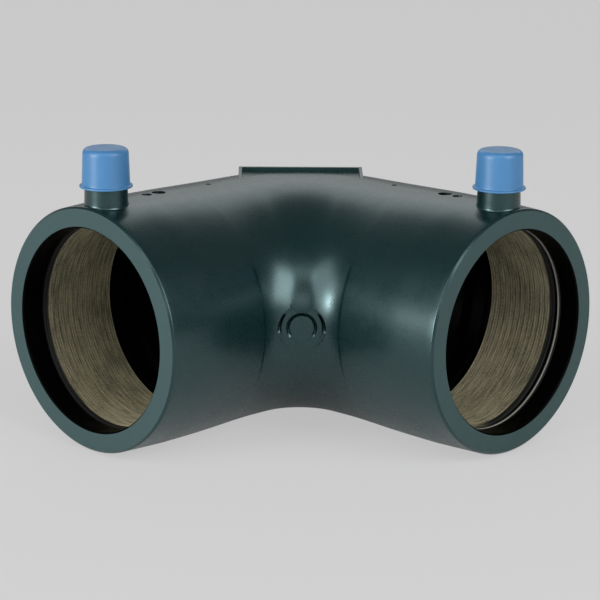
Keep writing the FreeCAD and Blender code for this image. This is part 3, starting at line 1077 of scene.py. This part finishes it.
@dataclass
class HeatingCoil(SocketPiece):
    """Heating wire of one socket: lead turn, winding and the run-off to the link wire."""

    steps_per_turn: int = 120
    pitch: float = 2.0 * MM
    turns: int = 13
    winding_start: float = 9.9 * MM
    lead_share: float = 0.55
    lead_blend: float = 0.45
    run_off_turn: float = 0.25
    run_off_end: float = 42.8 * MM
    base_half_width: float = 0.94 * MM
    shoulder_half_width: float = 0.82 * MM
    shoulder_sunk: float = 0.14 * MM
    crest_half_width: float = 0.48 * MM
    seam_sunk: float = 0.26 * MM
    wire_height: float = 1.0 * MM
    crest_sunk: float = 0.06 * MM
    skin_fade: float = 0.06
    highlight_past: float = 0.05
    sharp_angle: float = 60.0

    @property
    def half_turn(self) -> float:
        """The left coil reaches its outer wall half a turn after the right one."""
        return 0.5 if self.side is Side.LEFT else 0.0

    @property
    def last_turn(self) -> float:
        """Turns from the terminal to the end of the winding."""
        return 1 + self.turns + self.half_turn

    def depth(self, turn: Array) -> Array:
        """Depth of the wire's middle: level lead turn, even pitch, then a quarter turn that runs off.

        Args:
            turn: Turns from the terminal.

        Returns:
            One depth for each.
        """
        level, leaves = self.layout.terminal_depth, self.lead_share - self.half_turn
        line = self.winding_start + self.pitch * (turn - 1)
        wound = level + (line - level) * eased(ramp(turn, leaves, leaves + self.lead_blend))
        last = self.last_turn
        end = self.winding_start + self.pitch * (last - 1)
        off = np.sin(ramp(turn, last, last + self.run_off_turn) * np.pi / 2)
        return np.where(turn > last, end + (self.run_off_end - end) * off, wound)

    def section(self) -> Array:
        """Outline of the wire's section as (place across the wire, radius): two crests and a groove."""
        crest = self.layout.bore_radius + self.crest_sunk
        half = np.array([
            [self.base_half_width, crest + self.wire_height],
            [self.shoulder_half_width, crest + self.shoulder_sunk], [self.crest_half_width, crest],
        ])
        corners = [*half, [0.0, crest + self.seam_sunk], *(half[::-1] * (-1.0, 1.0))]
        return rounded_outline(corners, [0.05, 0.15, 0.3, 0.3, 0.3, 0.15, 0.05], 4, closed=True)

    def build(self) -> Thing:
        """Builds and dresses the coil.

        A point of the wire lies at (r sin a, r cos a, w - depth) in the socket's frame, where a is the
        angle that goes with the turn, r the section's radius and w its place across the wire.
        """
        across, radius = self.section().T[:, None]
        length = self.last_turn + self.run_off_turn
        turn = np.linspace(0.0, length, int(self.steps_per_turn * length) + 1)[:, None]
        angle = 2 * np.pi * turn
        points = (radius * np.sin(angle), radius * np.cos(angle), across - self.depth(turn))
        name = "coil_winding_" + self.side.label
        piece = grid_object(name, capped(np.stack(points, axis=-1)))
        piece.data.transform(Matrix(self.layout.socket_matrix(self.side).tolist()))
        self.mark_lead(piece.data)
        node = "heating_coil_" + self.side.label
        finish_piece(piece, [self.finishes.wire], [node], self.sharp_angle)
        return piece

    def mark_lead(self, mesh: Mesh) -> None:
        """Stores where the wire has black skin, where that skin's crest gets a painted highlight, and how the
        wire runs.

        The skin covers the left coil's first turn and the right coil's lead turn, whose crest gets a painted
        highlight, with the turn after it. A point's turn is the one that goes with its angle and fits its
        depth best.

        Args:
            mesh: Mesh of the wire, in place.
        """
        points = np.empty(len(mesh.vertices) * 3)
        mesh.vertices.foreach_get("co", points)
        inverse = np.linalg.inv(self.layout.socket_matrix(self.side))
        local = points.reshape(-1, 3) @ inverse[:3, :3].T + inverse[:3, 3]
        share = np.arctan2(local[:, 0], local[:, 1]) / (2 * np.pi) % 1.0
        candidates = share[:, None] + np.arange(int(self.last_turn) + 2)
        error = np.abs(self.depth(candidates) + local[:, 2:])
        turn = candidates[np.arange(len(share)), np.argmin(error, axis=1)]
        covered = 1.0 if self.side is Side.LEFT else self.lead_share + 1.0
        # Painted highlight: the pale attribute marks the right lead turn's crest for a light strip.
        crest = self.lead_share + self.highlight_past
        skin = ramp(turn, covered, covered - self.skin_fade)
        pale = ramp(turn, crest, crest - self.skin_fade) * (self.side is Side.RIGHT)
        along = 2 * np.pi * self.layout.bore_radius * turn
        wound = np.stack([along, self.depth(turn) + local[:, 2], np.hypot(local[:, 0], local[:, 1])], axis=-1)
        stored = (("skin", "FLOAT", "value", skin), ("pale", "FLOAT", "value", pale),
                  ("wound", "FLOAT_VECTOR", "vector", wound))
        for name, kind, field, values in stored:
            data = mesh.attributes.new(name, kind, "POINT").data
            data.foreach_set(field, values.astype(np.float32).ravel())


@dataclass
class TerminalCap(SocketPiece):
    """Blue dust cap pushed over a terminal's shroud."""

    foot_height: float = 4.9 * MM
    inner_top: float = 6.25 * MM
    inner_foot: float = 6.63 * MM
    wall: float = 0.7 * MM
    overlap: float = 10.7 * MM
    top: float = 1.3 * MM
    collar_radius: float = 8.1 * MM
    collar_height: float = 0.6 * MM
    spacing: float = 0.8 * MM
    segments: int = 128

    def build(self) -> Thing:
        """Builds and dresses the cap: a lathe form with a rounded top edge and a thin collar."""
        height, collar = self.overlap + self.top, self.collar_height
        corners = [
            [0.0, self.overlap], [self.inner_top, self.overlap], [self.inner_foot, 0.0],
            [self.collar_radius, 0.0], [self.collar_radius, collar], [self.inner_foot + self.wall, collar],
            [self.inner_top + self.wall, height], [0.0, height],
        ]
        outline = rounded_outline(corners, [0.0, 0.3, 0.1, 0.2, 0.2, 0.7, 1.7, 0.0], 8)
        profile = spread_between(outline, self.spacing)
        piece = self.lathe("dust_cap", profile, self.segments, self.layout.terminal_depth, self.foot_height)
        finish_piece(piece, [self.finishes.cap], ["terminal_cap_" + self.side.label])
        return piece


@dataclass
class FusionIndicator(SocketPiece):
    """Small pin in its well beside a terminal."""

    radius: float = 1.8 * MM
    foot: float = 3.4 * MM
    below_crown: float = 0.7 * MM
    segments: int = 48

    def build(self) -> Thing:
        """Builds and dresses the pin: a lathe form with a rounded head."""
        foot, head = -self.foot, -self.below_crown
        profile = rounded_outline([[0.0, foot], [self.radius, foot], [self.radius, head], [0.0, head]],
                                  [0.0, 0.1, 0.35, 0.0])
        piece = self.lathe("indicator_pin", profile, self.segments, self.layout.well_depths[0], 0.0)
        finish_piece(piece, [self.finishes.indicator], ["fusion_indicator_" + self.side.label])
        return piece


def dress_inner_nodes(finishes: Finishes) -> None:
    """Gives the contact pins and the link wire, which keep their CAD form, their materials.

    Args:
        finishes: The elbow's materials.
    """
    pin, wire = finishes.pin, finishes.wire
    for name, material in (("terminal_pin_left", pin), ("terminal_pin_right", pin), ("link_wire", wire)):
        mesh = frame["nodes"][name].data
        mesh.materials.clear()
        mesh.materials.append(material)
        LOG.info("%s: CAD form, %s", name, material.name)


# Studio


@dataclass(frozen=True)
class SoftLamp:
    """Soft oblong lamp that faces the elbow from a direction round it; angles in degrees, power in watts."""

    name: str
    azimuth: float
    elevation: float
    distance: float
    width: float
    height: float
    power: float

    def build(self, target: Array) -> Thing:
        """Adds the lamp.

        Args:
            target: Point that it faces.

        Returns:
            The lamp's object.
        """
        data = bpy.data.lights.new(self.name, "AREA")
        data.shape = "RECTANGLE"
        data.size, data.size_y = self.width, self.height
        data.energy = self.power
        lamp = bpy.data.objects.new(self.name, data)
        bpy.context.scene.collection.objects.link(lamp)
        turn, rise = math.radians(self.azimuth), math.radians(self.elevation)
        back = np.array([math.sin(turn) * math.cos(rise), -math.cos(turn) * math.cos(rise), math.sin(rise)])
        lamp.matrix_world = facing_matrix(target + back * self.distance, -back)
        return lamp


def facing_matrix(place: Array, forward: Array, roll: float = 0.0) -> Matrix:
    """Matrix of a lamp or camera at a place that looks along a direction.

    Args:
        place: Where it stands.
        forward: Unit vector that it looks along.
        roll: Turn about that vector, which lifts the right side of the frame.

    Returns:
        The matrix, whose local -Z is forward.
    """
    right = unit(np.cross(forward, UP))
    above = np.cross(right, forward)
    cosine, sine = math.cos(roll), math.sin(roll)
    across, upwards = right * cosine + above * sine, above * cosine - right * sine
    return Matrix(framed(across, upwards, -forward, place).tolist())


@dataclass(frozen=True)
class Studio:
    """Camera, lamps, world and floor of the picture."""

    eye: Triple = (-10.38 * MM, -681.4 * MM, 218.6 * MM)
    pan: float = 0.015
    tilt: float = 0.256
    roll: float = 0.008
    focal_pixels: float = 2199.3
    picture_pixels: float = 600.0
    sensor_mm: float = 36.0
    floor_half: float = 6.0
    world_strength: float = 0.15
    near: float = 0.01
    far: float = 50.0
    lamps: tuple[SoftLamp, ...] = (
        SoftLamp("back_lamp", 180.0, 36.0, 2.2, 3.0, 0.8, 9.3),
        SoftLamp("back_low_lamp", 180.0, 18.0, 2.2, 3.0, 0.6, 3.6),
        SoftLamp("front_top_lamp", 0.0, 50.0, 2.2, 3.0, 0.6, 8.9),
        SoftLamp("front_lamp", 0.0, 20.0, 2.2, 1.4, 0.6, 4.1),
        SoftLamp("key_lamp", -58.0, 8.0, 1.3, 0.18, 0.2, 6.2),
        SoftLamp("left_lamp", -52.0, 25.0, 1.5, 1.0, 1.2, 10.1),
        SoftLamp("left_low_lamp", -60.0, 9.0, 2.2, 1.4, 0.5, 8.6),
        SoftLamp("right_lamp", 46.0, 27.0, 1.5, 0.9, 0.9, 14.8),
    )

    def add_camera(self) -> None:
        """Camera at the photograph's place, turned to the right by pan and down by tilt."""
        level = math.cos(self.tilt)
        forward = np.array([math.sin(self.pan) * level, math.cos(self.pan) * level, -math.sin(self.tilt)])
        data = bpy.data.cameras.new("camera")
        data.sensor_width = self.sensor_mm
        data.lens = self.focal_pixels / self.picture_pixels * self.sensor_mm
        data.clip_start, data.clip_end = self.near, self.far
        camera = bpy.data.objects.new("camera", data)
        bpy.context.scene.collection.objects.link(camera)
        camera.matrix_world = facing_matrix(np.array(self.eye), forward, self.roll)
        bpy.context.scene.camera = camera

    def add_floor(self) -> None:
        """Pale floor under the elbow."""
        half = self.floor_half
        corners = [(-half, -half, 0), (half, -half, 0), (half, half, 0), (-half, half, 0)]
        mesh = bpy.data.meshes.new("floor")
        mesh.from_pydata(corners, [], [(0, 1, 2, 3)])
        mesh.materials.append(StudioPaper().build())
        new_object("floor", mesh)

    def add_world(self) -> None:
        """Even pale light from all round."""
        world = bpy.data.worlds.new("studio")
        world.use_nodes = True
        background = world.node_tree.nodes["Background"]
        background.inputs["Color"].default_value = (1.0, 1.0, 1.0, 1.0)
        background.inputs["Strength"].default_value = self.world_strength
        bpy.context.scene.world = world

    def build(self) -> None:
        """Sets up the whole studio."""
        self.add_camera()
        self.add_floor()
        self.add_world()
        low, high = (np.array(corner) for corner in CAD_BOX)
        for lamp in self.lamps:
            lamp.build((low + high) / 2)
            LOG.info("%s: %.0f W", lamp.name, lamp.power)
        bpy.context.scene.view_settings.view_transform = "Standard"


def main() -> None:
    """Builds the studio and every piece in order."""
    logging.basicConfig(level=logging.INFO, format="%(message)s")
    Studio().build()
    layout = Layout.from_frame()
    finishes = Finishes.build()
    Moulding(layout, finishes).build()
    for side in Side:
        HeatingCoil(layout, finishes, side).build()
        TerminalCap(layout, finishes, side).build()
        FusionIndicator(layout, finishes, side).build()
    dress_inner_nodes(finishes)


if __name__ == "__main__":
    main()
